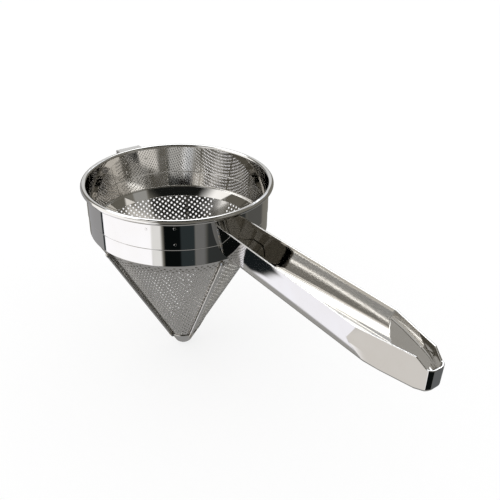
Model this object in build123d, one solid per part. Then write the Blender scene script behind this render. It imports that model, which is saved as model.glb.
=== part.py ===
from build123d import *

import os
from math import cos, degrees, pi, radians, sin, sqrt

# Chinois strainer: a rolled sheet collar, a perforated cone held by ribs, a trough handle and a pot hook.
# Frame: +Z up the cone's axis, +X along the handle, origin on the axis, level with the middle of the rolled
# rim, where the mouth's straight wall starts. Shapes are worked out from the rim's top down, and saved raised.
# All lengths are in millimetres. Depths are measured from the rim's top, azimuths from the handle.

# Collar and rim
rim_outer_diameter = 203.0
rim_roll_diameter = 6.0
collar_sheet = 0.9
collar_depth = 53.4
joggle_depth = 33.6
joggle_step = 0.35
flange_width = 10.6
rim_wire_clearance = 0.1

# Perforated cone: its height is measured to the point where its sides would meet
cone_height = 173.3
cone_top_inset = 1.15
cone_end_clearance = 6.6
cone_sheet = 0.8
seam_lap_width = 9.0
seam_azimuth = 114.0
hole_diameter = 2.6
hole_row_pitch = 9.0
hole_pitch = 14.0
hole_top_margin = 7.5
hole_bottom_margin = 13.0
seam_hole_margin = 8.0

# Ribs and tip cup
rib_azimuths = (-5.0, 67.0, 143.0, -149.0, -81.0)
rib_diameter = 3.6
rib_start_below_collar = 4.0
rib_weld_diameter = 5.0
cup_rim_diameter = 33.0
cup_sheet = 0.9
cup_depth = 17.0
cup_corner_radius = 6.0

# Handle
handle_sheet = 1.5
handle_top_depth = 11.5
handle_height = 31.0
handle_reach = 351.5
handle_root_width = 31.0
handle_crease_width = 42.4
handle_shoulder_width = 22.6
handle_nose_width = 19.0
handle_crease_reach = 284.0
handle_shoulder_reach = 338.0
handle_draft = 3.2
handle_corner_radius = 7.0
handle_taper_radius = 3.2
handle_nose_drop = 7.5
handle_nose_slope_length = 8.0
handle_nose_corner_radius = 6.5
handle_nose_lift = 2.5
handle_weld_diameter = 3.6

# Pot hook
hook_strip = 1.8
hook_width = 25.0
hook_pad_width = 36.0
hook_pad_top_depth = 9.0
hook_pad_height = 21.0
hook_top_depth = 3.2
hook_reach = 116.0
hook_lip_height = 15.0
hook_bend_radius = 2.4

# Spot welds
spot_diameter = 3.4
spot_height = 0.3
seam_spot_pitch = 22.0
flange_spot_count = 12
hook_spot_spacing = 26.0
hook_spot_row_spacing = 11.0
collar_spot_azimuths = (-50.0, -33.4, -33.4)
collar_spot_depths = (12.4, 10.5, 27.7)

# Fits
weld_gap = 0.05
rib_gap = 0.1
overrun = 5.0

rim_outer_radius = rim_outer_diameter / 2
roll_radius = rim_roll_diameter / 2
roll_centre_radius = rim_outer_radius - roll_radius
wall_inner_radius = rim_outer_radius - rim_roll_diameter
wall_outer_radius = wall_inner_radius + collar_sheet
low_outer_radius = wall_outer_radius - joggle_step
cone_top_radius = low_outer_radius - cone_top_inset
cone_slope = cone_top_radius / cone_height
cone_cos = 1 / sqrt(1 + cone_slope ** 2)
cone_sin = cone_slope * cone_cos
cone_apex_depth = collar_depth + cone_height
cup_top_depth = cone_apex_depth - cup_rim_diameter / 2 / cone_slope
cup_floor_depth = cup_top_depth + cup_depth
cone_cut_depth = cup_floor_depth - cup_sheet - cone_end_clearance


def cone_radius(depth):
    """Outer radius of the perforated cone at a depth under the rim's top."""
    return cone_slope * (cone_apex_depth - depth)


def ring(points):
    """A solid of revolution about Z from (radius, height) points."""
    outline = Plane.XZ * make_face(Polyline(*points, close=True))
    return revolve(outline, Axis.Z)


def solid_of(shape):
    """The single solid of a shape that has just one."""
    return shape.solids()[0]


def save(shape, name):
    """Write one node, raised so that the origin lies at the middle of the rolled rim."""
    export_step(Pos(0, 0, roll_radius) * shape, f"parts/{name}.step")


def on_cone(azimuth, depth, lift):
    """A point above the cone's outer surface by lift, along the surface normal."""
    radius = cone_radius(depth) + lift * cone_cos
    angle = radians(azimuth)
    return Vector(radius * cos(angle), radius * sin(angle), -depth - lift * cone_sin)


def cone_normal(azimuth):
    """The outward normal of the cone's outer surface."""
    angle = radians(azimuth)
    return Vector(cone_cos * cos(angle), cone_cos * sin(angle), -cone_sin)


def rod(start, end, diameter):
    """A straight round rod between two points."""
    along = end - start
    plane = Plane(origin=start, z_dir=along)
    return plane * Cylinder(diameter / 2, along.length, align=(Align.CENTER, Align.CENTER, Align.MIN))


def make_collar():
    """The band: rolled rim, wall with a joggle, and a flange turned in to the cone's slope."""
    flange_drop = flange_width * cone_cos
    flange_shift = (cone_sheet + weld_gap) / cone_cos
    flange_top_radius = cone_top_radius - flange_shift
    flange_end_depth = collar_depth + flange_drop
    flange_end_radius = cone_radius(flange_end_depth) - flange_shift
    flange_thickness = collar_sheet / cone_cos
    low_inner = wall_inner_radius - joggle_step
    wall = ring([
        (wall_inner_radius, -roll_radius),
        (wall_outer_radius, -roll_radius),
        (wall_outer_radius, -joggle_depth),
        (low_outer_radius, -joggle_depth - joggle_step),
        (low_outer_radius, -collar_depth + collar_sheet / 2),
        (low_outer_radius - collar_sheet / 2, -collar_depth),
        (flange_top_radius, -collar_depth),
        (flange_end_radius, -flange_end_depth),
        (flange_end_radius - flange_thickness, -flange_end_depth),
        (flange_top_radius - flange_thickness, -collar_depth),
        (low_inner, -collar_depth + collar_sheet),
        (low_inner, -joggle_depth - joggle_step),
        (wall_inner_radius, -joggle_depth),
    ])
    roll = Pos(0, 0, -roll_radius) * Torus(roll_centre_radius, roll_radius)
    core = Pos(0, 0, -roll_radius) * Torus(roll_centre_radius, roll_radius - collar_sheet)
    return wall + roll - core


def make_rim_wire():
    """The wire that the rim is rolled over."""
    return Pos(0, 0, -roll_radius) * Torus(roll_centre_radius, roll_radius - collar_sheet - rim_wire_clearance)


def cone_shell(top_depth, bottom_depth, lift, thickness):
    """A conical shell whose outer face lies lift above the cone's outer face."""
    outward = lift / cone_cos
    inward = thickness / cone_cos
    return ring([
        (cone_radius(top_depth) + outward, -top_depth),
        (cone_radius(bottom_depth) + outward, -bottom_depth),
        (cone_radius(bottom_depth) + outward - inward, -bottom_depth),
        (cone_radius(top_depth) + outward - inward, -top_depth),
    ])


def hole_places():
    """Azimuth and depth of every hole: staggered rows that leave the seam plain."""
    places = []
    depth = collar_depth + hole_top_margin
    row = 0
    while depth < cone_cut_depth - hole_bottom_margin:
        radius = cone_radius(depth)
        plain = degrees(seam_hole_margin / radius)
        count = round(2 * pi * radius / hole_pitch)
        for index in range(count):
            turn = 360 * (index + row % 2 / 2) / count
            away = (turn - seam_azimuth + 180) % 360 - 180
            if abs(away) > plain:
                places.append((turn, depth))
        depth += hole_row_pitch * cone_cos
        row += 1
    return places


def make_cone():
    """The perforated cone, one rolled sheet, with a lap over its seam on the outside."""
    top_depth = collar_depth + weld_gap
    shell = cone_shell(top_depth, cone_cut_depth, 0, cone_sheet)
    lap = cone_shell(top_depth + cone_sheet, cup_top_depth - cone_sheet, cone_sheet, cone_sheet)
    wedge_reach = cone_top_radius * 2
    wedge = Rot(0, 0, seam_azimuth) * Pos(wedge_reach / 2, 0, -cone_apex_depth / 2) * Box(
        wedge_reach, seam_lap_width, cone_apex_depth)
    shell = shell + (lap & wedge)
    cutters = []
    for azimuth, depth in hole_places():
        place = Plane(origin=on_cone(azimuth, depth, 0), z_dir=cone_normal(azimuth))
        cutters.append(place * Cylinder(hole_diameter / 2, cone_sheet * 4))
    return solid_of(shell - cutters)


def rib_axis(azimuth, depth):
    """A point on a rib's centre line."""
    return on_cone(azimuth, depth, rib_diameter / 2 + rib_gap)


def rib_end_depth():
    """Where the ribs stop, so that their square ends rest on the rim of the tip cup."""
    return cup_top_depth - weld_gap - rib_diameter / 2 * cone_sin


def make_rib(azimuth):
    """One round rod laid down the outside of the cone."""
    start = rib_axis(azimuth, collar_depth + rib_start_below_collar)
    end = rib_axis(azimuth, rib_end_depth())
    return rod(start, end, rib_diameter)


def make_rib_top_welds(collar):
    """A dab of weld between each rib's top and the collar's lower corner."""
    dabs = []
    keep_off = cone_shell(collar_depth, cone_cut_depth, weld_gap, cone_sheet * 4)
    for azimuth in rib_azimuths:
        top = rib_axis(azimuth, collar_depth)
        bottom = rib_axis(azimuth, collar_depth + rib_start_below_collar - weld_gap)
        dab = rod(top, bottom, rib_weld_diameter)
        dabs.append(solid_of(dab - keep_off - collar))
    return Compound(dabs)


def cup_solid(lift, floor_depth, corner, top_depth):
    """A filled cup round the cone's tip, with a rounded floor."""
    outward = lift / cone_cos
    filled = ring([
        (0, -top_depth),
        (cone_radius(top_depth) + outward, -top_depth),
        (cone_radius(floor_depth) + outward, -floor_depth),
        (0, -floor_depth),
    ])
    floor_edge = filled.edges().filter_by(GeomType.CIRCLE).sort_by(Axis.Z)[0]
    return fillet(floor_edge, corner)


def make_tip_cup():
    """The pressed cup that closes the tip."""
    outside = cup_solid(weld_gap + cup_sheet, cup_floor_depth, cup_corner_radius, cup_top_depth)
    inside_floor = cup_floor_depth - cup_sheet
    inside = cup_solid(weld_gap, inside_floor, cup_corner_radius - cup_sheet, cup_top_depth - overrun)
    return solid_of(outside - inside)


def make_rib_tip_welds(cup):
    """A dab of weld under each rib's lower end, on the cup's outside."""
    dabs = []
    keep_off = cone_shell(collar_depth, cone_cut_depth, weld_gap, cone_sheet * 4)
    for azimuth in rib_azimuths:
        top = rib_axis(azimuth, rib_end_depth() + weld_gap)
        bottom = rib_axis(azimuth, rib_end_depth() + rib_diameter)
        dab = rod(top, bottom, rib_diameter)
        dabs.append(solid_of(dab - keep_off - cup))
    return Compound(dabs)


def trough_section(reach, top_half, corner, inset, lift):
    """The trough's U outline at one reach, drawn in by inset, with a raised floor."""
    top_height = -handle_top_depth
    floor_height = top_height - handle_height + lift + inset
    if inset > 0:
        top_height = top_height + overrun
    draft_slope = handle_draft / handle_height
    floor_half = top_half - inset - draft_slope * (-handle_top_depth - floor_height)
    upper_half = top_half - inset + draft_slope * (top_height + handle_top_depth)
    points = [
        (-upper_half, top_height),
        (-floor_half, floor_height),
        (floor_half, floor_height),
        (upper_half, top_height),
    ]
    face = Plane(origin=(reach, 0, 0), x_dir=(0, 1, 0), z_dir=(1, 0, 0)) * make_face(
        Polyline(*points, close=True))
    low = face.vertices().sort_by(Axis.Z)[:2]
    return fillet(low, corner - inset)


def trough_body(inset):
    """The trough's outside when inset is zero, and its hollow when inset is the sheet."""
    root = wall_outer_radius - overrun * 2
    spread_slope = (handle_crease_width - handle_root_width) / (handle_crease_reach - wall_outer_radius)
    root_half = handle_root_width / 2 - spread_slope * (wall_outer_radius - root) / 2
    end = handle_reach - inset
    sections = [
        trough_section(root, root_half, handle_corner_radius, inset, 0),
        trough_section(handle_crease_reach, handle_crease_width / 2, handle_corner_radius, inset, 0),
        trough_section(handle_shoulder_reach, handle_shoulder_width / 2, handle_taper_radius, inset, 0),
        trough_section(end, handle_nose_width / 2, handle_taper_radius, inset, handle_nose_lift),
    ]
    return loft(sections, ruled=True)


def nose_plan(inset):
    """A tall block with the nose's rounded corners in plan."""
    half = handle_crease_width
    end = handle_reach - inset
    shoulder_half = handle_shoulder_width / 2 - inset
    nose_half = handle_nose_width / 2 - inset
    points = [
        (0, -half),
        (handle_shoulder_reach, -half),
        (handle_shoulder_reach, -shoulder_half),
        (end, -nose_half),
        (end, nose_half),
        (handle_shoulder_reach, shoulder_half),
        (handle_shoulder_reach, half),
        (0, half),
    ]
    face = make_face(Polyline(*points, close=True))
    corners = face.vertices().sort_by(Axis.X)[-2:]
    face = fillet(corners, handle_nose_corner_radius - inset)
    tall = handle_height + handle_top_depth + overrun * 2
    return extrude(Pos(0, 0, -tall) * face, tall + overrun * 2)


def nose_cut():
    """The block above the trough's top edge, which steps down at the nose."""
    top = -handle_top_depth
    low = top - handle_nose_drop
    step_end = handle_shoulder_reach + handle_nose_slope_length
    far = handle_reach + overrun
    points = [
        (0, top),
        (handle_shoulder_reach, top),
        (step_end, low),
        (far, low),
        (far, top + overrun * 2),
        (0, top + overrun * 2),
    ]
    face = Plane.XZ * make_face(Polyline(*points, close=True))
    return extrude(face, handle_crease_width, both=True)


def collar_block(radius):
    """A solid cylinder that stands for the collar's outside."""
    return Pos(0, 0, -collar_depth / 2) * Cylinder(radius, collar_depth * 2)


def make_handle(outside):
    """The trough handle, pressed from sheet, open on top, with a rounded nose."""
    inside = trough_body(handle_sheet) & nose_plan(handle_sheet)
    body = outside & nose_plan(0)
    body = body - inside - nose_cut()
    return solid_of(body - collar_block(wall_outer_radius + weld_gap))


def make_handle_welds(outside):
    """Fillet welds down both sides of the handle's root and under its floor."""
    keep_off = collar_block(wall_outer_radius + weld_gap)
    draft_half = handle_root_width / 2 - handle_draft
    low_depth = handle_top_depth + handle_height
    beads = []
    for side in (-1, 1):
        top_y = side * handle_root_width / 2
        low_y = side * draft_half
        top = Vector(sqrt(wall_outer_radius ** 2 - top_y ** 2), top_y, -handle_top_depth - handle_weld_diameter)
        low = Vector(sqrt(wall_outer_radius ** 2 - low_y ** 2), low_y, -low_depth + handle_corner_radius)
        beads.append(rod(top, low, handle_weld_diameter))
    floor_y = draft_half - handle_corner_radius
    floor_x = sqrt(wall_outer_radius ** 2 - floor_y ** 2)
    left = Vector(floor_x, -floor_y, -low_depth)
    right = Vector(floor_x, floor_y, -low_depth)
    beads.append(rod(left, right, handle_weld_diameter))
    return Compound([solid_of(bead - keep_off - outside) for bead in beads])


def make_hook():
    """The pot hook: a pad on the collar, a tongue level with the rim and a lip turned down."""
    wall_x = wall_outer_radius + weld_gap
    middle = hook_strip / 2
    throat_x = rim_outer_radius + rim_roll_diameter / 2
    level = -hook_top_depth - middle
    line = FilletPolyline(
        (wall_x + middle, -hook_pad_top_depth - rim_roll_diameter),
        (wall_x + middle, -hook_pad_top_depth),
        (throat_x, level),
        (hook_reach - middle, level),
        (hook_reach - middle, level - hook_lip_height),
        radius=hook_bend_radius)
    strip = Plane.XZ * trace(line, line_width=hook_strip)
    arm = extrude(strip, hook_width / 2, both=True)
    pad_low = -hook_pad_top_depth - hook_pad_height
    pad = ring([
        (wall_x, -hook_pad_top_depth),
        (wall_x + hook_strip, -hook_pad_top_depth),
        (wall_x + hook_strip, pad_low),
        (wall_x, pad_low),
    ])
    block = Pos(wall_x, 0, pad_low / 2) * Box(wall_x, hook_pad_width, -pad_low)
    pad = pad & block
    return Rot(0, 0, 180) * solid_of(arm + pad)


def wall_spot(azimuth, depth, radius):
    """A spot weld's raised disc whose inner end lies at a radius."""
    place = Rot(0, 0, azimuth) * Pos(radius, 0, -depth) * Rot(0, 90, 0)
    return place * Cylinder(spot_diameter / 2, spot_height, align=(Align.CENTER, Align.CENTER, Align.MIN))


def make_collar_spots():
    """Spot welds on the collar's outside, at the lap of its own band."""
    radius = wall_outer_radius + weld_gap
    return Compound([
        wall_spot(azimuth, depth, radius) for azimuth, depth in zip(collar_spot_azimuths, collar_spot_depths)])


def make_hook_spots():
    """Spot welds of the hook's pad, seen on the collar's inside."""
    radius = wall_inner_radius - weld_gap - spot_height
    swing = degrees(hook_spot_spacing / 2 / wall_inner_radius)
    middle = hook_pad_top_depth + hook_pad_height / 2
    return Compound([
        wall_spot(180 + side * swing, middle + row * hook_spot_row_spacing / 2, radius)
        for side in (-1, 1) for row in (-1, 1)])


def make_seam_spots():
    """Spot welds down the cone's lap seam."""
    discs = []
    lift = cone_sheet + weld_gap
    depth = collar_depth + rib_start_below_collar * 2
    while depth < cup_top_depth - seam_spot_pitch / 4:
        place = Plane(origin=on_cone(seam_azimuth, depth, lift), z_dir=cone_normal(seam_azimuth))
        discs.append(place * Cylinder(
            spot_diameter / 2, spot_height, align=(Align.CENTER, Align.CENTER, Align.MIN)))
        depth += seam_spot_pitch * cone_cos
    return Compound(discs)


def make_flange_spots():
    """Spot welds that hold the cone to the collar's flange, seen on the flange's inside."""
    discs = []
    sink = -cone_sheet - weld_gap * 2 - collar_sheet
    depth = collar_depth + flange_width * cone_cos / 2
    for index in range(flange_spot_count):
        azimuth = seam_azimuth + 360 * (index + 0.5) / flange_spot_count
        place = Plane(origin=on_cone(azimuth, depth, sink), z_dir=-cone_normal(azimuth))
        discs.append(place * Cylinder(
            spot_diameter / 2, spot_height, align=(Align.CENTER, Align.CENTER, Align.MIN)))
    return Compound(discs)


os.makedirs("parts", exist_ok=True)

collar = make_collar()
save(collar, "collar")
save(make_rim_wire(), "rim_wire")
cup = make_tip_cup()
save(cup, "tip_cup")
for number, azimuth in enumerate(rib_azimuths, 1):
    save(make_rib(azimuth), f"rib_{number}")
save(make_rib_top_welds(collar), "rib_top_welds")
save(make_rib_tip_welds(cup), "rib_tip_welds")
trough = trough_body(0)
save(make_handle(trough), "handle")
save(make_handle_welds(trough), "handle_welds")
save(make_hook(), "hook")
save(make_collar_spots(), "collar_spots")
save(make_hook_spots(), "hook_spots")
save(make_seam_spots(), "seam_spots")
save(make_flange_spots(), "flange_spots")
save(make_cone(), "cone")
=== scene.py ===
import bmesh
import bpy
import numpy as np
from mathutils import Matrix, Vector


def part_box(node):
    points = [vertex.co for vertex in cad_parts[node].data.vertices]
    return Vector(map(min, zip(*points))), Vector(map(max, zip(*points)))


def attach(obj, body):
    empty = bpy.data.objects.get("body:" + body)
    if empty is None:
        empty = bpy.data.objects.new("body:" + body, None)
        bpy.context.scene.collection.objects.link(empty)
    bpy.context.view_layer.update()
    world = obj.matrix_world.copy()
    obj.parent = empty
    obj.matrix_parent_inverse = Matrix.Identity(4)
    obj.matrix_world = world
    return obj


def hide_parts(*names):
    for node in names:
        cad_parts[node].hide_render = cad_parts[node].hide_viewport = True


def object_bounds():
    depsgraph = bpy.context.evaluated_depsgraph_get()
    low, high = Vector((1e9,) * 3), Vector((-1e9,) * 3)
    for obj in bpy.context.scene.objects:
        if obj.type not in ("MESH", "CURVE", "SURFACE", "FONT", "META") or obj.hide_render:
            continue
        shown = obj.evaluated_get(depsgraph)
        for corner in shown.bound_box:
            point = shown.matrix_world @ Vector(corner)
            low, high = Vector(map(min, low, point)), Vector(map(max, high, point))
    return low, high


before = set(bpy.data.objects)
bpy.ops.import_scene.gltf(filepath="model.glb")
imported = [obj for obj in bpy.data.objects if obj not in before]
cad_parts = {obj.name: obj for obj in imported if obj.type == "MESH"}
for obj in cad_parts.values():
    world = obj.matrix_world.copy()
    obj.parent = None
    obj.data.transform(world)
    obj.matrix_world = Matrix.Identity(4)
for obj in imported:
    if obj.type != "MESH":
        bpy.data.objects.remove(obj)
cad_box = [list(corner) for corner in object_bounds()]
mm = 0.001

# Camera: it looks down into the bowl from the handle's near side, about 0.7 m away.
# Its place, turn and lens come from fitting the rim, the cone, the tip and the handle's edges.
camera = bpy.data.objects.new("camera", bpy.data.cameras.new("camera"))
bpy.context.scene.collection.objects.link(camera)
bpy.context.scene.camera = camera
camera.location = (0.553964, -0.326843, 0.284330)
camera.rotation_euler = np.radians([60.0487, -1.2989, 53.2260])
camera.data.lens = 47.146
camera.data.sensor_width = 36.0
camera.data.clip_start = 0.01
bpy.context.scene.view_settings.view_transform = "Standard"


# Studio light: a white sweep lit softly from all round, and the panels that polished steel mirrors.
# The steel shows a bright bank on its left, dark flags before it, pale panels and a high lamp behind
# it, and a dark ceiling.
def linear(code):
    """An sRGB hex colour as linear red, green and blue, with one for alpha."""
    parts = np.array([int(code[at:at + 2], 16) for at in (1, 3, 5)]) / 255
    parts = np.where(parts <= 0.04045, parts / 12.92, ((parts + 0.055) / 1.055) ** 2.4)
    return (*parts.tolist(), 1.0)


def add_node(tree, kind, settings=None, inputs=None):
    """Adds one node with its settings, and fills its inputs with values or with links."""
    made = tree.nodes.new("ShaderNode" + kind)
    for key, value in (settings or {}).items():
        setattr(made, key, value)
    for key, value in (inputs or {}).items():
        if isinstance(value, bpy.types.NodeSocket):
            tree.links.new(value, made.inputs[key])
        else:
            made.inputs[key].default_value = value
    return made


# Each panel: its colour, azimuths, elevations and soft edge, how far it leans in azimuth for each
# degree of height, and how bright its lamp is. Angles are degrees, azimuths are from the handle.
# A later panel stands before earlier ones.
room_grey = "#6b6963"
studio_panels = [
    ("#c4c5c6", (128, 176), (6, 50), 8, 0, 1.0),
    ("#b9babb", (100, 131), (28, 52), 4, 0, 1.0),
    ("#dfe4ec", (98, 124), (29, 44), 1, -2.2, 1.0),
    ("#f4f8ff", (123.4, 125.4), (30, 44), 0.4, -2.2, 3.5),
    ("#f4f3f2", (-150, -62), (-30, 56), 7, 0, 1.0),
    ("#f8fbff", (124, 236), (46, 66), 4, 0, 2.6),
    ("#908f8e", (-184, -151), (-58, 12), 4, 0, 1.0),
    ("#fafaff", (-152, -66), (-47, -14), 5, 0, 1.0),
    ("#ececf4", (-156.5, -66), (-57, -42.8), 1.2, -0.9, 1.0),
    ("#c9c6c3", (-135, -75), (-62, -35.5), 4, 0, 1.0),
    ("#8c8c8e", (-184, -142), (-33, 12), 2, 0, 1.0),
    ("#1c2326", (-143.2, -139.2), (-33, -20), 1.5, 0, 1.0),
    ("#14181a", (-163, -152), (-42.6, -34), 0.8, 0, 1.0),
    ("#d8d8d8", (-66, -54), (-42, 10), 4, 0, 1.0),
    ("#080b0b", (-51, -28), (-36, -14), 3, 0, 1.0),
    ("#272d2f", (-30, -12), (-36, -14), 3, 0, 1.0),
    ("#646464", (-12, 2), (-36, 5), 4, 0, 1.0),
    ("#2c2e2e", (2, 62), (-36, -14), 8, 0, 1.0),
    ("#4c4c4a", (62, 100), (-36, -14), 8, 0, 1.0),
    ("#0c0e0e", (-60, 26), (-50, -36), 2, 0, 1.0),
    ("#5a5c5e", (28, 100), (-50, -36), 2, 0, 1.0),
    ("#7c7c7a", (100, 160), (-56, -33), 5, 0, 1.0),
    ("#141514", (-98, 14), (25, 36), 4, 0, 1.0),
    ("#8c8c8a", (16, 36), (17, 33), 3, 0, 1.0),
    ("#2a2b29", (-60, 40), (58, 90), 12, 0, 1.0),
    ("#30312f", (-190, 190), (68, 92), 9, 0, 1.0),
    ("#848484", (-190, 190), (-92, -58), 7, 0, 1.0),
]
panel_glow = 1.45


def studio_world():
    """The world: white to the camera, even light to dull surfaces, the panels to steel."""
    world = bpy.data.worlds.new("soft_studio")
    bpy.context.scene.world = world
    world.use_nodes = True
    tree = world.node_tree
    tree.nodes.clear()
    direction = add_node(tree, "TexCoord").outputs["Generated"]
    axes = add_node(tree, "SeparateXYZ", inputs={0: direction}).outputs
    turn = add_node(tree, "Math", {"operation": "ARCTAN2"}, {0: axes["Y"], 1: axes["X"]}).outputs[0]
    turn = add_node(tree, "Math", {"operation": "DEGREES"}, {0: turn}).outputs[0]
    rise = add_node(tree, "Math", {"operation": "ARCSINE"}, {0: axes["Z"]}).outputs[0]
    rise = add_node(tree, "Math", {"operation": "DEGREES"}, {0: rise}).outputs[0]
    seen = add_node(tree, "RGB").outputs[0]
    seen.default_value = linear(room_grey)
    for shade, turns, rises, edge, slant, glow in studio_panels:
        turn_middle, turn_half = sum(turns) / 2, (turns[1] - turns[0]) / 2
        rise_middle, rise_half = sum(rises) / 2, (rises[1] - rises[0]) / 2
        above = add_node(tree, "Math", {"operation": "SUBTRACT"}, {0: rise, 1: rise_middle}).outputs[0]
        leaning = add_node(tree, "Math", {"operation": "MULTIPLY_ADD"}, {0: above, 1: slant, 2: turn_middle})
        beside = add_node(tree, "Math", {"operation": "SUBTRACT"}, {
            0: turn, 1: leaning.outputs[0]}).outputs[0]
        beside = add_node(tree, "Math", {"operation": "WRAP"}, {0: beside, 1: 180.0, 2: -180.0}).outputs[0]
        cover = 1.0
        for away, half in ((beside, turn_half), (above, rise_half)):
            away = add_node(tree, "Math", {"operation": "ABSOLUTE"}, {0: away}).outputs[0]
            inside = add_node(tree, "MapRange", {"interpolation_type": "SMOOTHSTEP"}, {
                "Value": away, "From Min": half - edge / 2, "From Max": half + edge / 2,
                "To Min": 1.0, "To Max": 0.0}).outputs[0]
            cover = add_node(tree, "Math", {"operation": "MULTIPLY"}, {0: inside, 1: cover}).outputs[0]
        light = tuple(part * glow for part in linear(shade))
        seen = add_node(tree, "MixRGB", inputs={0: cover, 1: seen, 2: light}).outputs[0]
    panels = add_node(tree, "Background", inputs={"Color": seen, "Strength": panel_glow}).outputs[0]
    paper = add_node(tree, "Background", inputs={"Color": (1, 1, 1, 1), "Strength": 1.0}).outputs[0]
    mirrored = add_node(tree, "LightPath").outputs["Is Glossy Ray"]
    both = add_node(tree, "MixShader", inputs={0: mirrored, 1: paper, 2: panels}).outputs[0]
    add_node(tree, "OutputWorld", inputs={"Surface": both})


studio_world()


# Floor: a sheet of white paper under the tip, wide enough to fill the view.
# Most of its white is shown to the camera alone, so the strainer's soft shadow stays but is faint.
def paper_material():
    """Matt white background paper, brightened for the camera, which hides its texture."""
    material = bpy.data.materials.new("matt_white_paper")
    material.use_nodes = True
    tree = material.node_tree
    tree.nodes.clear()
    fibre = add_node(tree, "TexNoise", inputs={"Scale": 900.0, "Detail": 3.0}).outputs[0]
    shade = add_node(tree, "MixRGB", inputs={0: fibre, 1: linear("#fbfbfb"), 2: linear("#ffffff")}).outputs[0]
    dull = add_node(tree, "BsdfDiffuse", inputs={"Color": shade}).outputs[0]
    bright = add_node(tree, "Emission", inputs={"Color": (1, 1, 1, 1), "Strength": 1.02}).outputs[0]
    camera_ray = add_node(tree, "LightPath").outputs["Is Camera Ray"]
    bright_share = 0.72
    share = add_node(tree, "Math", {"operation": "MULTIPLY"}, {
        0: camera_ray, 1: bright_share}).outputs[0]
    both = add_node(tree, "MixShader", inputs={0: share, 1: dull, 2: bright}).outputs[0]
    add_node(tree, "OutputMaterial", inputs={"Surface": both})
    return material


floor_reach = 6.0
floor_level = cad_box[0][2]
floor_corners = [(x, y, floor_level) for x, y in
                 ((-floor_reach, -floor_reach), (floor_reach, -floor_reach),
                  (floor_reach, floor_reach), (-floor_reach, floor_reach))]
floor_mesh = bpy.data.meshes.new("floor")
floor_mesh.from_pydata(floor_corners, [], [(0, 1, 2, 3)])
floor_mesh.materials.append(paper_material())
floor = bpy.data.objects.new("floor", floor_mesh)
bpy.context.scene.collection.objects.link(floor)
floor.visible_glossy = False


# Collar: one band of 0.9 mm stainless sheet. Its top is curled outward over a wire into the rim,
# a joggle runs round it, and its foot is turned in as a flange that the cone is spot-welded to.
def rounded(corners, radii, steps):
    """A path through corners, each rounded by a circular arc that touches both its sides.

    The arc is the rational curve (a^2 P + 2 a b w C + b^2 Q) / (a^2 + 2 a b w + b^2) with b = 1 - a,
    where C is the corner, P and Q are the touching points and w is the sine of half the corner's angle.
    Corners may hold many paths at once: the first axis counts corners, the last x and y.
    """
    corners = np.asarray(corners, float)
    back = np.roll(corners, 1, 0) - corners
    ahead = np.roll(corners, -1, 0) - corners
    back /= np.linalg.norm(back, axis=-1, keepdims=True)
    ahead /= np.linalg.norm(ahead, axis=-1, keepdims=True)
    cosine = np.clip((back * ahead).sum(-1, keepdims=True), -1 + 1e-9, 1 - 1e-9)
    half_sine = np.sqrt((1 - cosine) / 2)
    path = []
    for index, (radius, count) in enumerate(zip(radii, steps)):
        if count == 0:
            path.append(corners[index][None])
            continue
        reach = radius * np.sqrt((1 + cosine[index]) / (1 - cosine[index]))
        first = corners[index] + back[index] * reach
        last = corners[index] + ahead[index] * reach
        part = np.linspace(0, 1, count + 1).reshape((-1,) + (1,) * first.ndim)
        weights = ((1 - part) ** 2, 2 * part * (1 - part) * half_sine[index], part ** 2)
        path.append((weights[0] * first + weights[1] * corners[index] + weights[2] * last) / sum(weights))
    return np.concatenate(path)


def grid_faces(rows, columns, loop_rows=False, loop_columns=False):
    """The four-cornered faces of a grid of points, closed on itself where asked."""
    row = np.arange(rows if loop_rows else rows - 1)[:, None]
    column = np.arange(columns if loop_columns else columns - 1)[None, :]
    next_row = (row + 1) % rows
    next_column = (column + 1) % columns
    faces = np.stack([row * columns + column, next_row * columns + column,
                      next_row * columns + next_column, row * columns + next_column], -1)
    return faces.reshape(-1, 4)


def steel_piece(name, points, faces, material, slot):
    """A closed piece: its doubles are merged, its faces turned outward, and each point takes the mean
    of its faces' normals weighted by their area, so that flat sheet mirrors flat up to its bends."""
    mesh = bpy.data.meshes.new(name)
    mesh.from_pydata(points.reshape(-1, 3).tolist(), [], faces.tolist())
    work = bmesh.new()
    work.from_mesh(mesh)
    bmesh.ops.remove_doubles(work, verts=work.verts, dist=1e-7)
    bmesh.ops.recalc_face_normals(work, faces=work.faces)
    work.to_mesh(mesh)
    work.free()
    mesh.shade_smooth()
    corner_points = np.empty(len(mesh.loops), np.int32)
    mesh.loops.foreach_get("vertex_index", corner_points)
    face_normals = np.empty(len(mesh.polygons) * 3)
    mesh.polygons.foreach_get("normal", face_normals)
    areas = np.empty(len(mesh.polygons))
    mesh.polygons.foreach_get("area", areas)
    sides = np.empty(len(mesh.polygons), np.int32)
    mesh.polygons.foreach_get("loop_total", sides)
    weighted = np.repeat(face_normals.reshape(-1, 3) * areas[:, None], sides, axis=0)
    normals = np.zeros((len(mesh.vertices), 3))
    np.add.at(normals, corner_points, weighted)
    normals /= np.linalg.norm(normals, axis=1, keepdims=True) + 1e-30
    mesh.normals_split_custom_set_from_vertices(normals.tolist())
    return dress(name, mesh, material)


def dress(name, mesh, material):
    """Puts a mesh into the scene as a piece that rides on the strainer."""
    mesh.materials.append(material)
    piece = bpy.data.objects.new(name, mesh)
    bpy.context.scene.collection.objects.link(piece)
    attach(piece, "root")
    return piece


def turned(profile, segments=288):
    """Points of a profile of radius and height, turned about the vertical axis."""
    angle = np.linspace(0, 2 * np.pi, segments, endpoint=False)[:, None]
    radius, height = profile[None, :, 0], profile[None, :, 1]
    return np.stack([radius * np.cos(angle), radius * np.sin(angle), height + 0 * angle], -1)


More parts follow.
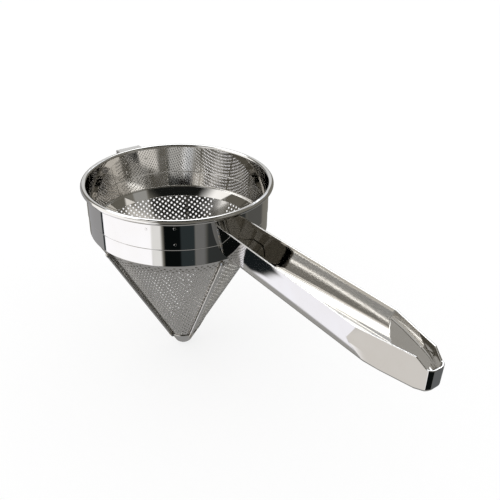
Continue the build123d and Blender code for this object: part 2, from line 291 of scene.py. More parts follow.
def polished_steel(name, lines_across, smudge=0.03):
    """Stainless sheet polished on a buffing wheel.

    To the eye it is a mirror, softened by very faint unevenness from the buffing, coarser here than on
    real steel, and by patches some 25 mm across that were buffed a bit less.
    """
    best_buffed = 0.02
    material = bpy.data.materials.new(name)
    material.use_nodes = True
    tree = material.node_tree
    tree.nodes.clear()
    place = add_node(tree, "TexCoord").outputs["Object"]
    patches = add_node(tree, "TexNoise", inputs={"Vector": place, "Scale": 1 / (25 * mm), "Detail": 3.0})
    stretched = add_node(tree, "Mapping", inputs={"Vector": place, "Scale": lines_across}).outputs[0]
    lines = add_node(tree, "TexNoise", inputs={"Vector": stretched, "Scale": 1.0, "Detail": 2.0})
    rough = add_node(tree, "MapRange", inputs={
        "Value": patches.outputs[0], "From Min": 0.35, "From Max": 0.7,
        "To Min": best_buffed, "To Max": best_buffed + smudge}).outputs[0]
    tone = add_node(tree, "MixRGB", inputs={
        0: patches.outputs[0], 1: linear("#dcdbd9"), 2: linear("#d6d3ce")}).outputs[0]
    bump = add_node(tree, "Bump", inputs={
        "Height": lines.outputs[0], "Distance": 0.0006 * mm, "Strength": 0.6}).outputs[0]
    steel = add_node(tree, "BsdfPrincipled", inputs={
        "Base Color": tone, "Metallic": 1.0, "Roughness": rough, "Normal": bump}).outputs[0]
    add_node(tree, "OutputMaterial", inputs={"Surface": steel})
    return material


collar_low, collar_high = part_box("collar")
rim_roll = collar_high.z
rim_radius = collar_high.y
sheet = 0.9 * mm
roll_middle = rim_radius - rim_roll
wall_inner = roll_middle - rim_roll
wall_outer = wall_inner + sheet
joggle_top = -30.6 * mm
joggle_step = 0.35 * mm
collar_foot = -50.4 * mm
bend = 1.4 * mm
seat_gap = 0.05 * mm
flange_end = collar_low.z
cone_height = 173.3 * mm
cone_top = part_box("cone")[1]
cone_slope = cone_top.x / cone_height
cone_cos = 1 / np.hypot(1, cone_slope)
cone_sin = cone_slope * cone_cos
cone_apex = collar_foot - cone_height


def cone_radius(height):
    """Radius of the cone's outer face at a height."""
    return (height - cone_apex) * cone_slope


def collar_profile():
    """The band's closed section: the curl outside and inside, the wall, the joggle and the flange."""
    curl_end = np.radians(-127)
    outer_curl = np.linspace(np.radians(180), curl_end, 45)
    inner_curl = outer_curl[::-1]
    curl = [np.stack([roll_middle + radius * np.cos(angle), radius * np.sin(angle)], -1)
            for radius, angle in ((rim_roll, outer_curl), (rim_roll - sheet, inner_curl))]
    clear = sheet / cone_cos + seat_gap
    flange_top = cone_radius(collar_foot) - clear
    flange_low = cone_radius(flange_end) - clear
    flange_across = sheet / cone_cos
    low_outer = wall_outer - joggle_step
    low_inner = wall_inner - joggle_step
    outside_start = -0.6 * mm
    inside_end = -0.01 * mm
    joggle_radius = 1.2 * mm
    tight_bend = 0.25 * mm
    flange_lip = 0.3 * mm
    inner_bend = 0.5 * mm
    below = rounded([
        (wall_outer, outside_start),
        (wall_outer, joggle_top),
        (low_outer, joggle_top - 2 * joggle_step),
        (low_outer, collar_foot),
        (flange_top, collar_foot),
        (flange_low, flange_end),
        (flange_low - flange_across, flange_end),
        (flange_top - flange_across, collar_foot + sheet),
        (low_inner, collar_foot + sheet),
        (low_inner, joggle_top - 2 * joggle_step),
        (wall_inner, joggle_top),
        (wall_inner, inside_end),
    ], [0, joggle_radius, joggle_radius, bend, tight_bend, flange_lip, flange_lip, inner_bend, inner_bend,
        joggle_radius, joggle_radius, 0], [0, 5, 5, 8, 3, 4, 4, 5, 5, 5, 5, 0])
    return np.concatenate([curl[0], curl[1], below])


collar_points = turned(collar_profile())
buffed_round = polished_steel("mirror_polished_stainless_band", (60, 60, 2500))
collar = steel_piece("collar_band", collar_points, grid_faces(*collar_points.shape[:2], True, True),
                     buffed_round, "polished_steel")
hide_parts("collar")


# Perforated cone: one sheet of 0.8 mm stainless, punched all over with 2.5 mm holes and polished,
# rolled to a cone with a lapped seam on the far side, its top lapped over the collar's flange.
cone_sheet = 0.8 * mm
cone_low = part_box("cone")[0]
cup_low, cup_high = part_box("tip_cup")
hole_radius = 1.25 * mm
hole_ring = 12
punch_step = np.array([[3.75, 2.75], [-3.25, 3.25]]) * mm
seam_azimuth = 114.0
seam_lap = 9.0 * mm
seam_ramp = 5.0 * mm
plain_by_cup = 3 * mm
punch_reach = 90


def flat_sheet():
    """The sheet before rolling, as points and triangles in its own plane, with the cone's tip at zero.

    The punch moves in a skewed grid. Each hole has a rhombus of sheet round it, cut into triangles
    between its four corners and a ring of points. Rhombi near the edges have no hole, and their
    corners are drawn in to the edge. A point's azimuth on the cone is its polar angle over the
    cone's sine, so the sheet is a sector whose two straight sides are the seam's edges.
    """
    low, high = (cone_low.z - cone_apex) / cone_cos, (cone_top.z - cone_apex) / cone_cos
    ends = np.radians([seam_azimuth - 360, seam_azimuth]) * cone_sin
    across = np.stack([-np.sin(ends), np.cos(ends)], -1) * [[1], [-1]]
    span = np.arange(-punch_reach, punch_reach + 1)
    first, second = np.meshgrid(span, span, indexing="ij")
    corners = (first[..., None] - 0.5) * punch_step[0] + (second[..., None] - 0.5) * punch_step[1]
    centres = first[..., None] * punch_step[0] + second[..., None] * punch_step[1]
    slant = np.linalg.norm(corners, axis=-1)
    side = np.minimum(corners @ across[0], corners @ across[1]) + seam_lap / 2
    inside = (slant > low) & (slant < high) & (side > 0)
    touched = inside[:-1, :-1] | inside[1:, :-1] | inside[1:, 1:] | inside[:-1, 1:]
    whole = inside[:-1, :-1] & inside[1:, :-1] & inside[1:, 1:] & inside[:-1, 1:]
    centres = centres[:-1, :-1]
    centre_slant = np.linalg.norm(centres, axis=-1)
    centre_side = np.minimum(centres @ across[0], centres @ across[1])
    cup_slant = (cup_high.z - cone_apex) / cone_cos
    holed = whole & (centre_slant > cup_slant + plain_by_cup) & (centre_side > seam_lap / 2 + seam_ramp)
    for edge in (0, 1):
        lack = np.minimum(corners @ across[edge] + seam_lap / 2, 0)
        corners = corners - lack[..., None] * across[edge]
    slant = np.linalg.norm(corners, axis=-1, keepdims=True)
    corners = corners * np.clip(slant, low, high) / slant
    width = len(span)
    index = np.arange(width * width).reshape(width, width)
    quads = np.stack([index[:-1, :-1], index[1:, :-1], index[1:, 1:], index[:-1, 1:]], -1)
    plain = quads[touched & ~holed]
    plain = np.concatenate([plain[:, [0, 1, 2]], plain[:, [0, 2, 3]]])
    start = np.arctan2(*(-punch_step.sum(0))[::-1])
    angle = start + np.linspace(0, 2 * np.pi, hole_ring, endpoint=False)
    ring = hole_radius * np.stack([np.cos(angle), np.sin(angle)], -1)
    rings = centres[holed][:, None] + ring
    around = quads[holed]
    ring_index = width * width + np.arange(rings.shape[0] * hole_ring).reshape(-1, hole_ring)
    fans = []
    for corner in range(4):
        here, there = around[:, corner], around[:, (corner + 1) % 4]
        arc = [ring_index[:, (3 * corner + step) % hole_ring] for step in range(4)]
        fans += [(here, arc[1], arc[0]), (here, arc[2], arc[1]),
                 (here, there, arc[2]), (there, arc[3], arc[2])]
    fans = np.concatenate([np.stack(fan, -1) for fan in fans])
    points = np.concatenate([corners.reshape(-1, 2), rings.reshape(-1, 2)])
    triangles = np.concatenate([plain, fans])
    used, triangles = np.unique(triangles, return_inverse=True)
    points, triangles = points[used], triangles.reshape(-1, 3)
    sides = points[triangles[:, 1:]] - points[triangles[:, :1]]
    area = sides[:, 0, 0] * sides[:, 1, 1] - sides[:, 0, 1] * sides[:, 1, 0]
    edge_distance = points @ across[0] + seam_lap / 2
    least_area = 1e-12
    return points, triangles[area > least_area], edge_distance


def rolled(points, edge_distance, depth):
    """Places points of the flat sheet on the cone, and gives their outward normals there.

    The slant along the cone is the distance from the tip, the azimuth is the polar angle over the
    cone's sine. Near one end the sheet climbs by its own thickness, so that it laps over the other.
    """
    slant = np.linalg.norm(points, axis=-1)
    azimuth = np.arctan2(points[:, 1], points[:, 0]) / cone_sin
    climb = np.clip((seam_lap + seam_ramp - edge_distance) / seam_ramp, 0, 1)
    climb = climb * climb * (3 - 2 * climb) * (cone_sheet + seat_gap) - depth
    normal = np.stack([cone_cos * np.cos(azimuth), cone_cos * np.sin(azimuth), -cone_sin + 0 * azimuth], -1)
    along = np.stack([cone_sin * np.cos(azimuth), cone_sin * np.sin(azimuth), cone_cos + 0 * azimuth], -1)
    return [0, 0, cone_apex] + along * slant[:, None] + normal * climb[:, None], normal


def punched_steel():
    """Punched stainless sheet, polished after punching.

    To the eye it is a mirror a little duller than the collar, with short streaks down the cone from
    the polishing belt, 1 mm apart, and patches some 18 mm across that are a bit duller and uneven.
    """
    material = bpy.data.materials.new("punched_polished_stainless")
    material.use_nodes = True
    tree = material.node_tree
    tree.nodes.clear()
    place = add_node(tree, "TexCoord").outputs["Object"]
    patches = add_node(tree, "TexNoise", inputs={"Vector": place, "Scale": 1 / (18 * mm), "Detail": 3.0})
    stretched = add_node(tree, "Mapping", inputs={"Vector": place, "Scale": (1000, 1000, 60)}).outputs[0]
    streaks = add_node(tree, "TexNoise", inputs={"Vector": stretched, "Scale": 1.0, "Detail": 2.0})
    rough = add_node(tree, "MapRange", inputs={
        "Value": patches.outputs[0], "From Min": 0.3, "From Max": 0.7,
        "To Min": 0.1, "To Max": 0.2}).outputs[0]
    tone = add_node(tree, "MixRGB", inputs={
        0: streaks.outputs[0], 1: linear("#dad8d5"), 2: linear("#cdcac5")}).outputs[0]
    bump = add_node(tree, "Bump", inputs={
        "Height": patches.outputs[0], "Distance": 0.05 * mm, "Strength": 0.5}).outputs[0]
    steel = add_node(tree, "BsdfPrincipled", inputs={
        "Base Color": tone, "Metallic": 1.0, "Roughness": rough, "Normal": bump}).outputs[0]
    add_node(tree, "OutputMaterial", inputs={"Surface": steel})
    return material


def perforated_sheet():
    """Both faces of the rolled sheet, joined by walls along every edge: the outline and each hole.

    An edge with one triangle only is an outline or a hole's rim. Faces take the cone's own normals.
    """
    flat, triangles, edge_distance = flat_sheet()
    outer, normal = rolled(flat, edge_distance, 0.0)
    inner, _ = rolled(flat, edge_distance, cone_sheet)
    count = len(flat)
    edges = triangles[:, [0, 1, 1, 2, 2, 0]].reshape(-1, 2)
    key = np.sort(edges, 1) @ [count, 1]
    _, position, uses = np.unique(key, return_index=True, return_counts=True)
    rims = edges[position[uses == 1]]
    walls = np.stack([rims[:, 0], rims[:, 1], rims[:, 1] + count, rims[:, 0] + count], -1)
    points = np.concatenate([outer, inner])
    sides = points[walls]
    wall_normal = np.cross(sides[:, 2] - sides[:, 0], sides[:, 3] - sides[:, 1])
    rim_normal = np.zeros((count, 3))
    np.add.at(rim_normal, rims[:, 0], wall_normal)
    np.add.at(rim_normal, rims[:, 1], wall_normal)
    rim_normal /= np.linalg.norm(rim_normal, axis=1, keepdims=True) + 1e-30
    outside = triangles[:, ::-1]
    corner_normals = np.concatenate([
        normal[outside].reshape(-1, 3), -normal[triangles].reshape(-1, 3),
        rim_normal[walls % count].reshape(-1, 3)])
    mesh = bpy.data.meshes.new("perforated_cone")
    mesh.from_pydata(points.tolist(), [], outside.tolist() + (triangles + count).tolist() + walls.tolist())
    mesh.shade_smooth()
    mesh.normals_split_custom_set(corner_normals.tolist())
    return mesh


cone = dress("perforated_cone", perforated_sheet(), punched_steel())
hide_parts("cone")


# Tip cup: a small cup pressed from 0.9 mm sheet, pushed over the cone's cut end and welded to it.
# Its floor is drawn with a wide round corner.
def cup_profile():
    """The cup's closed section, from the middle of its floor out, up, over its rim and back inside."""
    clear = seat_gap / cone_cos
    outer_shift, inner_shift = sheet / cone_cos + clear, clear
    outside = [(0, cup_low.z), (cone_radius(cup_low.z) + outer_shift, cup_low.z),
               (cone_radius(cup_high.z) + outer_shift, cup_high.z)]
    inside = [(cone_radius(cup_high.z) + inner_shift, cup_high.z),
              (cone_radius(cup_low.z + sheet) + inner_shift, cup_low.z + sheet), (0, cup_low.z + sheet)]
    corner = 6 * mm
    lip = 0.3 * mm
    return rounded(outside + inside, [0, corner, lip, lip, corner - sheet, 0], [0, 12, 4, 4, 10, 0])


cup_points = turned(cup_profile(), segments=96)
buffed_small = polished_steel("mirror_polished_stainless_cup", (900, 900, 900), 0.12)
cup = steel_piece("tip_cup_pressed", cup_points, grid_faces(*cup_points.shape[:2], True, False),
                  buffed_small, "polished_steel")
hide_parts("tip_cup")


# Ribs: five round rods, 3.6 mm thick, laid down the outside of the cone from collar to cup.
# Each is drawn bright rod, held by a dab of weld at both ends.
def drawn_rod():
    """Bright drawn stainless rod: die lines 0.8 mm apart, and a straw tint from heat near the cup."""
    material = bpy.data.materials.new("bright_drawn_stainless_rod")
    material.use_nodes = True
    tree = material.node_tree
    tree.nodes.clear()
    place = add_node(tree, "TexCoord").outputs["Object"]
    stretched = add_node(tree, "Mapping", inputs={"Vector": place, "Scale": (1200, 1200, 40)}).outputs[0]
    lines = add_node(tree, "TexNoise", inputs={"Vector": stretched, "Scale": 1.0, "Detail": 2.0})
    height = add_node(tree, "SeparateXYZ", inputs={0: place}).outputs["Z"]
    heated = 9 * mm
    tip_heat = add_node(tree, "MapRange", inputs={
        "Value": height, "From Min": cup_high.z, "From Max": cup_high.z + heated,
        "To Min": 0.7, "To Max": 0.0})
    bright = add_node(tree, "MixRGB", inputs={
        0: lines.outputs[0], 1: linear("#dedddb"), 2: linear("#c4c2be")}).outputs[0]
    tone = add_node(tree, "MixRGB", inputs={
        0: tip_heat.outputs[0], 1: bright, 2: linear("#a89b84")}).outputs[0]
    bump = add_node(tree, "Bump", inputs={
        "Height": lines.outputs[0], "Distance": 0.01 * mm, "Strength": 0.6}).outputs[0]
    steel = add_node(tree, "BsdfPrincipled", inputs={
        "Base Color": tone, "Metallic": 1.0, "Roughness": 0.16, "Normal": bump}).outputs[0]
    add_node(tree, "OutputMaterial", inputs={"Surface": steel})
    return material


rib_azimuths = (-5.0, 67.0, 143.0, -149.0, -81.0)
rib_radius = 1.8 * mm
rib_gap = 0.1 * mm
rib_top = collar_foot - 4 * mm
rib_foot = cup_high.z + 1.0 * mm


def on_cone(azimuth, height, lift):
    """A point above the cone's outer face by lift, along its normal, and that normal."""
    angle = np.radians(azimuth)
    outward = np.array([np.cos(angle), np.sin(angle), 0.0])
    normal = outward * cone_cos - [0, 0, cone_sin]
    return outward * cone_radius(height) + [0, 0, height] + normal * lift, normal


def rod_points(start, end, radius, around=20, crown=0.4 * mm, ripple=0.0, ripple_pitch=1.0):
    """Points of a rod between two places, its ends rounded off by crown and closed.

    At a share t of the length the section is a circle, drawn in at the ends along a quarter ellipse,
    and swollen and shrunk by a cosine of the length where a weld bead has its ripples.
    """
    start, end = np.array(start), np.array(end)
    length = np.linalg.norm(end - start)
    along = (end - start) / length
    any_other_way = [0.3, 0.2, 1.0]
    side = np.cross(along, any_other_way)
    side /= np.linalg.norm(side)
    other = np.cross(along, side)
    quarter = np.linspace(0, np.pi / 2, 6)
    ripple_rings = 30 if ripple > 0 else 0
    middle = np.linspace(crown, length - crown, 2 + ripple_rings)
    distance = np.concatenate([crown * (1 - np.cos(quarter)), middle[1:-1],
                               length - crown * (1 - np.cos(quarter[::-1]))])
    width = np.concatenate([np.sin(quarter), np.ones(len(middle) - 2), np.sin(quarter[::-1])])
    size = radius * (1 - crown / radius * (1 - width)) if crown < radius else radius * width
    size = np.where(width == 0, 0, size)
    size = size * (1 + ripple * np.cos(2 * np.pi * distance / ripple_pitch))
    angle = np.linspace(0, 2 * np.pi, around, endpoint=False)
    round_it = np.cos(angle)[:, None] * side + np.sin(angle)[:, None] * other
    return start + distance[:, None, None] * along + size[:, None, None] * round_it[None]


rod_steel = drawn_rod()
for number, azimuth in enumerate(rib_azimuths, 1):
    top_place, _ = on_cone(azimuth, rib_top, rib_radius + rib_gap)
    low_place, _ = on_cone(azimuth, rib_foot, rib_radius + rib_gap)
    points = rod_points(top_place, low_place, rib_radius)
    rib = steel_piece(f"rib_rod_{number}", points, grid_faces(*points.shape[:2], False, True),
                      rod_steel, "rod_steel")
    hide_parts(f"rib_{number}")
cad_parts["rim_wire"].data.materials.clear()
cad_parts["rim_wire"].data.materials.append(rod_steel)


# Handle: a tray pressed from 1.5 mm sheet, open on top. It widens and gets shallower from the collar
# to a fold, tapers to a blunt nose and steps down there. Its root is welded to the collar.
handle_low, handle_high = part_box("handle")
handle_sheet = 1.5 * mm
handle_depth = handle_high.z - handle_low.z
root_deeper = 7.6 * mm
fold_deeper = 2.8 * mm
taper_deeper = 1 * mm
handle_end = handle_high.x
fold_x = 284 * mm
shoulder_x = 338 * mm
taper_x = 300 * mm
corner_change_x = 276 * mm
draft_change_x = (278 * mm, 296 * mm)
after_fold = 16 * mm
root_half = 15.5 * mm
fold_half = handle_high.y
shoulder_half = 11.3 * mm
nose_half = 8.3 * mm
far_wider = 0.9 * mm
root_draft = 0.207
taper_draft = 0.11
nose_draft = 0.03
nose_step = 6.8 * mm
nose_slope = 8.0 * mm
nose_lift = 5.0 * mm
nose_corner = 6.0 * mm
nose_front = 3 * mm
floor_stop = 11 * mm
floor_corner = 9.0 * mm
taper_corner = 3.6 * mm
end_corner = 3.4 * mm
fold_arc = 6 * mm
shoulder_arc = 8 * mm

# Where the fold crosses each wall: depths under the top edge, then distances from the axis, in mm.
near_fold = ((0, 18.5, 22.5, 27), (288, 276, 283, 293))
far_fold = ((0, 7.5, 18, 27), (290, 287, 289, 294))


def tray_outline(depth, lateral, fold, side):
    """Half the tray's plan at a depth under its top edge, drawn in by a lateral distance.

    It runs from the collar's wall along the side to the fold, along the taper to the shoulder and
    round the nose to its middle, as straight lines joined by arcs. Depth and lateral are arrays.
    """
    fold_line = np.interp(depth, np.array(fold[0]) * mm, np.array(fold[1]) * mm)
    wider = far_wider * (side > 0)
    spread = (fold_half - root_half) / (fold_x - wall_outer)
    fold_y = root_half + (fold_line - wall_outer) * spread
    fold_y = np.minimum(fold_y, fold_half) + wider - lateral
    root_y = root_half + wider - lateral
    root_x = np.sqrt((wall_outer + seat_gap) ** 2 - root_y ** 2)
    end = handle_end + nose_draft * nose_step - lateral
    shoulder_y = shoulder_half - lateral
    past_y = fold_y + (shoulder_y - fold_y) * after_fold / (shoulder_x - fold_line)
    corners = np.array([
        (root_x, root_y), (fold_line, fold_y), (fold_line + after_fold, past_y),
        (shoulder_x + 0 * end, shoulder_y),
        (end, nose_half - lateral * 0.9), (end, 0 * end)])
    corners = np.moveaxis(corners, 1, -1)
    least_radius = 2.0 * mm
    nose_radius = np.maximum(nose_corner - 0.6 * lateral, least_radius)[..., None]
    path = rounded(corners, [0, fold_arc, 0, shoulder_arc, nose_radius, 0], [0, 8, 0, 6, 20, 0])
    path[..., 1] *= side
    return path


def tray_half(fold, side):
    """One half of the tray: columns follow the plan's outline, rows the section of the sheet.

    Rows run from the floor's middle under the tray, round the lower corner, up the drafted wall, over
    the sheet's edge and back down inside. A wall point at depth d lies d times the draft further in;
    a corner point lies on the circle that touches wall and floor.
    """
    top = tray_outline(np.zeros(1), np.zeros(1), fold, side)[:, 0, 0]
    past_shoulder = np.clip((top - shoulder_x) / (handle_end - shoulder_x), 0, 1)
    step = np.clip((top - shoulder_x) / nose_slope, 0, 1)
    edge = nose_step * step * step * (3 - 2 * step)
    deeper = np.interp(top, [wall_outer, fold_x, taper_x, shoulder_x],
                       [root_deeper, fold_deeper, taper_deeper, taper_deeper])
    floor = handle_depth + deeper - nose_lift * past_shoulder
    corner = np.interp(top, [corner_change_x, taper_x, handle_end],
                       [floor_corner, taper_corner, end_corner])
    draft = np.interp(top, [*draft_change_x, shoulder_x, handle_end - nose_front],
                      [root_draft, taper_draft, taper_draft, nose_draft])
    lean = np.arctan(draft)
    lip_depth = 0.45 * mm
    lip_side = 1 * mm
    lip_radius = 0.4 * mm
    rows = []
    for inset, order in ((0.0, 1), (handle_sheet, -1)):
        radius = corner - inset
        centre_depth = floor - inset - radius
        centre_in = draft * centre_depth + radius * np.hypot(1, draft) + inset
        part = [(centre_in, floor - inset, 1.0), (centre_in, floor - inset, 0.4)]
        for swing in np.linspace(np.pi / 2, lean, 9):
            part.append((centre_in - radius * np.cos(swing), centre_depth + radius * np.sin(swing), 0.0))
        wall_low = part[-1][1]
        wall_high = edge + lip_depth
        for share in (0.75, 0.6, 0.45, 0.3, 0.15, 0.0):
            depth = wall_high + (wall_low - wall_high) * share
            part.append((inset + draft * depth, depth, 0.0))
        rows += part[::order]
        if inset == 0.0:
            lip = rounded([(0, lip_side), (0, 0), (handle_sheet, 0), (handle_sheet, lip_side)],
                          [0, lip_radius, lip_radius, 0], [0, 4, 4, 0])[1:-1]
            rows += [(across + draft * edge, edge + down, 0.0) for across, down in lip]
    grid = []
    limit = handle_end - floor_stop
    for lateral, depth, to_middle in rows:
        path = tray_outline(depth, lateral, fold, side)
        path = path[np.arange(len(top)), np.arange(len(top))]
        middle_x = np.minimum(path[:, 0], limit)
        x = path[:, 0] + (middle_x - path[:, 0]) * to_middle
        y = path[:, 1] * (1 - to_middle)
        grid.append(np.stack([x, y, handle_high.z - depth], -1))
    return np.stack(grid, 1)


def tray_points():
    """Both halves of the tray, the far one run backwards, joined at the nose's middle."""
    near = tray_half(near_fold, -1)
    far = tray_half(far_fold, 1)[::-1]
    return np.concatenate([near, far[1:]])


tray = tray_points()
buffed_along = polished_steel("mirror_polished_stainless_tray", (50, 2500, 2500))
tray_faces = grid_faces(*tray.shape[:2])
tray_rows = tray.shape[1]
last_column = (tray.shape[0] - 1) * tray_rows
row = np.arange(tray_rows // 2)
near_end = np.stack([row, row + 1, tray_rows - 2 - row, tray_rows - 1 - row], -1)
tray_faces = np.concatenate([tray_faces, near_end[:-1], (near_end + last_column)[:-1]])
handle = steel_piece("handle_tray", tray, tray_faces, buffed_along, "polished_steel")
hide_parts("handle")


# Handle welds: fillets run by hand down both sides of the handle's root and under its floor.
# Stainless weld, brushed after welding: rippled, duller than the sheet, with faint straw in patches.
def weld_steel():
    """Brushed stainless weld: a satin grey, finely uneven, with a patchy straw tint from the heat."""
    material = bpy.data.materials.new("brushed_stainless_weld")
    material.use_nodes = True
    tree = material.node_tree
    tree.nodes.clear()
    place = add_node(tree, "TexCoord").outputs["Object"]
    patches = add_node(tree, "TexNoise", inputs={"Vector": place, "Scale": 1 / (3 * mm), "Detail": 4.0})
    brushed = add_node(tree, "TexNoise", inputs={"Vector": place, "Scale": 1 / (0.4 * mm), "Detail": 2.0})
    tint = add_node(tree, "ValToRGB", inputs={0: patches.outputs[0]})
    tint.color_ramp.elements[0].position = 0.35
    tint.color_ramp.elements[0].color = linear("#8f959c")
    tint.color_ramp.elements[1].position = 0.7
    tint.color_ramp.elements[1].color = linear("#c8bfae")
    rough = add_node(tree, "MapRange", inputs={
        "Value": patches.outputs[0], "To Min": 0.22, "To Max": 0.42}).outputs[0]
    bump = add_node(tree, "Bump", inputs={
        "Height": brushed.outputs[0], "Distance": 0.06 * mm, "Strength": 0.7}).outputs[0]
    steel = add_node(tree, "BsdfPrincipled", inputs={
        "Base Color": tint.outputs[0], "Metallic": 1.0, "Roughness": rough, "Normal": bump}).outputs[0]
    add_node(tree, "OutputMaterial", inputs={"Surface": steel})
    return material


def joined(grids, loop_rows=False, loop_columns=True):
    """Several grids of points of one size as one list of points and faces."""
    grids = np.array(grids)
    faces = grid_faces(grids.shape[1], grids.shape[2], loop_rows, loop_columns)
    shift = np.arange(len(grids)) * grids.shape[1] * grids.shape[2]
    return grids.reshape(-1, 3), (faces[None] + shift[:, None, None]).reshape(-1, 4)


weld = weld_steel()
bead_radius = 0.7 * mm
bead_pitch = 1.1 * mm
bead_ripple = 0.08
bead_sides = 16
bead_start = 4 * mm
bead_out = 0.1 * mm
root_floor = handle_depth + root_deeper
beads = []
for side in (-1, 1):
    ends = []
    for depth in (bead_start, root_floor - floor_corner):
        bead_y = root_half - root_draft * depth + bead_out
        bead_x = np.sqrt(wall_outer ** 2 - bead_y ** 2)
        ends.append((bead_x, side * bead_y, handle_high.z - depth))
    beads.append(rod_points(*ends, bead_radius, bead_sides, bead_radius, bead_ripple, bead_pitch))
floor_y = root_half - root_draft * root_floor - floor_corner / 2
floor_x = np.sqrt(wall_outer ** 2 - floor_y ** 2)
floor_z = handle_high.z - root_floor
beads.append(rod_points((floor_x, -floor_y, floor_z), (floor_x, floor_y, floor_z),
                        bead_radius, bead_sides, bead_radius, bead_ripple, bead_pitch))
handle_welds = steel_piece("handle_root_beads", *joined(beads), weld, "weld_steel")
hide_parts("handle_welds")


# Rib welds: a dab under the collar at each rib's top and a dab on the cup at its lower end.
# They are quick tacks, domed and dull.
dab_sides = 16
top_dab_start = collar_foot - 0.6 * mm
top_dab_end = collar_foot - 5.5 * mm
top_dab_radius = 2.3 * mm
top_dab_crown = 2.2 * mm
tip_dab_start = cup_high.z + 1.5 * mm
tip_dab_end = cup_high.z - 3.4 * mm
tip_dab_radius = 1.9 * mm
tip_dab_crown = 1.6 * mm
tip_dab_sink = 0.4 * mm
top_dabs = []
tip_dabs = []
for azimuth in rib_azimuths:
    start, _ = on_cone(azimuth, top_dab_start, rib_radius)
    end, _ = on_cone(azimuth, top_dab_end, rib_radius)
    top_dabs.append(rod_points(start, end, top_dab_radius, dab_sides, top_dab_crown))
    start, _ = on_cone(azimuth, tip_dab_start, rib_radius)
    end, _ = on_cone(azimuth, tip_dab_end, rib_radius - tip_dab_sink)
    tip_dabs.append(rod_points(start, end, tip_dab_radius, dab_sides, tip_dab_crown))
rib_top_welds = steel_piece("rib_top_tacks", *joined(top_dabs), weld, "weld_steel")
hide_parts("rib_top_welds")
rib_tip_welds = steel_piece("rib_tip_tacks", *joined(tip_dabs), weld, "weld_steel")
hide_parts("rib_tip_welds")


# Pot hook: a strip of 1.8 mm sheet opposite the handle. Its broad pad hugs the collar and is
# spot-welded there, its tongue lies level with the rim, and its lip turns down over a pot's edge.
hook_low, hook_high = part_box("hook")
hook_strip = 1.8 * mm
hook_half = 14.7 * mm
pad_half = hook_high.y
pad_top = 20 * mm
pad_blend = 6 * mm
pad_wrap = 3 * mm
hook_bend = 2.4 * mm
neck_level = -6 * mm
lip_drop = 15 * mm


def hook_points():
    """The bent strip as one closed skin.

    The strip is laid out flat: s runs along it, y across. Its half width is the pad's, then the
    tongue's, less a quarter circle at each corner. Both faces lie half a thickness off the middle,
    drawn together along a quarter ellipse at the outline. The flat strip then follows the bent path,
    and on the pad it also wraps round the collar, x = sqrt(R^2 - y^2).
    """
    middle_x = wall_outer + seat_gap + hook_strip / 2
    level = hook_high.z - hook_strip / 2
    tip_x = -hook_low.x - hook_strip / 2
    throat = rim_radius + rim_roll
    path = rounded([(middle_x, hook_low.z), (middle_x, neck_level), (throat, level), (tip_x, level),
                    (tip_x, level - lip_drop)], [0, hook_bend, hook_bend, hook_bend, 0], [0, 8, 8, 10, 0])
    steps = np.linalg.norm(np.diff(path, axis=0), axis=1)
    length = np.concatenate([[0], np.cumsum(steps)])
    total = length[-1]
    edge = 0.45 * mm
    corner = 3.5 * mm
    quarter = np.linspace(0, np.pi / 2, 5)
    corner_turn = np.linspace(0.5, np.pi / 2, 7)
    near = np.concatenate([edge * (1 - np.cos(quarter)), corner * (1 - np.cos(corner_turn))])
    blend_rows = np.linspace(pad_top - pad_blend, pad_top, 9)
    s = np.unique(np.round(np.concatenate([near, length, total - near, blend_rows]), 7))
    across = np.concatenate([-1 + near[:5] / hook_half, np.linspace(-1, 1, 25)[1:-1],
                             1 - near[4::-1] / hook_half])
    across = np.unique(np.round(across, 6))
    share = np.clip((s - pad_top + pad_blend) / pad_blend, 0, 1)
    half = pad_half + (hook_half - pad_half) * share * share * (3 - 2 * share)
    for distance in (s, total - s):
        lack = np.clip(corner - distance, 0, corner)
        half = half - (corner - np.sqrt(corner ** 2 - lack ** 2))
    y = across[None, :] * half[:, None]
    inward = np.minimum(half[:, None] - np.abs(y), np.minimum(s, total - s)[:, None])
    lack = np.clip(edge - inward, 0, edge) / edge
    thick = hook_strip / 2 * np.sqrt(1 - lack ** 2)
    place = np.stack([np.interp(s, length, path[:, 0]), np.interp(s, length, path[:, 1])], -1)
    ahead = np.gradient(place, s, axis=0)
    ahead /= np.linalg.norm(ahead, axis=1, keepdims=True)
    outward = np.stack([ahead[:, 1], -ahead[:, 0]], -1)
    wrap = np.clip((pad_top - s) / pad_wrap, 0, 1)[:, None]
    skins = []
    for face in (1, -1):
        x = place[:, :1] + face * thick * outward[:, :1]
        z = place[:, 1:] + face * thick * outward[:, 1:]
        x = x + wrap * (np.sqrt(x ** 2 - y ** 2) - x)
        skins.append(np.stack([-x, y, z], -1))
    return np.array(skins)


hook_skins = hook_points()
hook = steel_piece("pot_hook_strip", *joined(hook_skins, False, False), buffed_along, "polished_steel")
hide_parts("hook")


# Spot welds: round dimples 2.8 mm across, left by the welder's electrodes on the collar, on the
# inside behind the hook, down the cone's seam and round its top.
spot_gap = 0.02 * mm


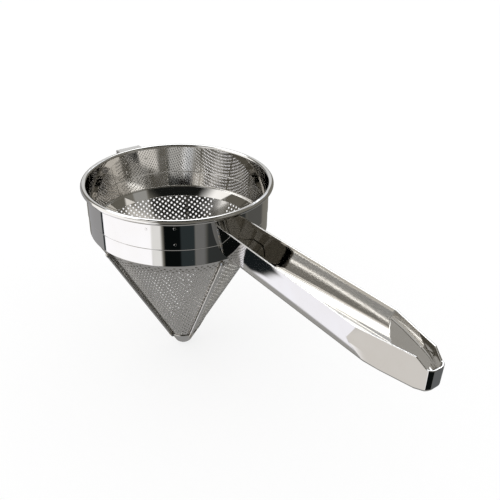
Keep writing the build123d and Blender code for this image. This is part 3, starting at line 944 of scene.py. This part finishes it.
def spot_points(place, normal, radius=1.4 * mm, height=0.1 * mm):
    """A shallow button with a dished face: its height is a ring that falls off to both sides."""
    normal = np.array(normal) / np.linalg.norm(normal)
    any_other_way = [0.2, 0.3, 1.0]
    side = np.cross(normal, any_other_way)
    side /= np.linalg.norm(side)
    other = np.cross(normal, side)
    out = np.array([0, 0.35, 0.62, 0.8, 0.92, 1.0, 1.0, 0.0])
    rise = np.array([0.35, 0.45, 0.9, 1.0, 0.75, 0.15, 0.0, 0.0])
    angle = np.linspace(0, 2 * np.pi, 20, endpoint=False)
    round_it = np.cos(angle)[:, None] * side + np.sin(angle)[:, None] * other
    return place + radius * out[:, None, None] * round_it + height * rise[:, None, None] * normal


def wall_place(azimuth, height, radius):
    """A point on the collar's wall and the direction out from the axis there."""
    outward = np.array([np.cos(np.radians(azimuth)), np.sin(np.radians(azimuth)), 0.0])
    return outward * radius + [0, 0, height], outward


band_spots = []
for azimuth, height in ((-50.0, -9.4), (-33.4, -7.5), (-33.4, -24.7)):
    place, outward = wall_place(azimuth, height * mm, wall_outer + spot_gap)
    band_spots.append(spot_points(place, outward))
collar_spots = steel_piece("collar_spot_marks", *joined(band_spots), buffed_round, "weld_steel")
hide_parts("collar_spots")

pad_spots = []
for azimuth in (-7.8, 7.8):
    for height in (-11.0, -22.0):
        place, outward = wall_place(180 + azimuth, height * mm, wall_inner - spot_gap)
        pad_spots.append(spot_points(place, -outward))
hook_spots = steel_piece("hook_spot_marks", *joined(pad_spots), buffed_round, "weld_steel")
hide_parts("hook_spots")

lap_first = collar_foot - 8 * mm
lap_last = cup_high.z + 5.5 * mm
lap_step = -22 * mm * cone_cos
lap_lift = cone_sheet + 0.07 * mm
lap_spots = []
for height in np.arange(lap_first, lap_last, lap_step):
    place, normal = on_cone(seam_azimuth, height, lap_lift)
    lap_spots.append(spot_points(place, normal))
seam_spots = steel_piece("seam_spot_marks", *joined(lap_spots), weld, "weld_steel")
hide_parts("seam_spots")

ring_count = 12
ring_lift = -cone_sheet - sheet - 0.12 * mm
ring_spots = []
for index in range(ring_count):
    azimuth = seam_azimuth + 360 * (index + 0.5) / ring_count
    place, normal = on_cone(azimuth, (collar_foot + flange_end) / 2, ring_lift)
    ring_spots.append(spot_points(place, -normal))
flange_spots = steel_piece("flange_spot_marks", *joined(ring_spots), buffed_round, "weld_steel")
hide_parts("flange_spots")
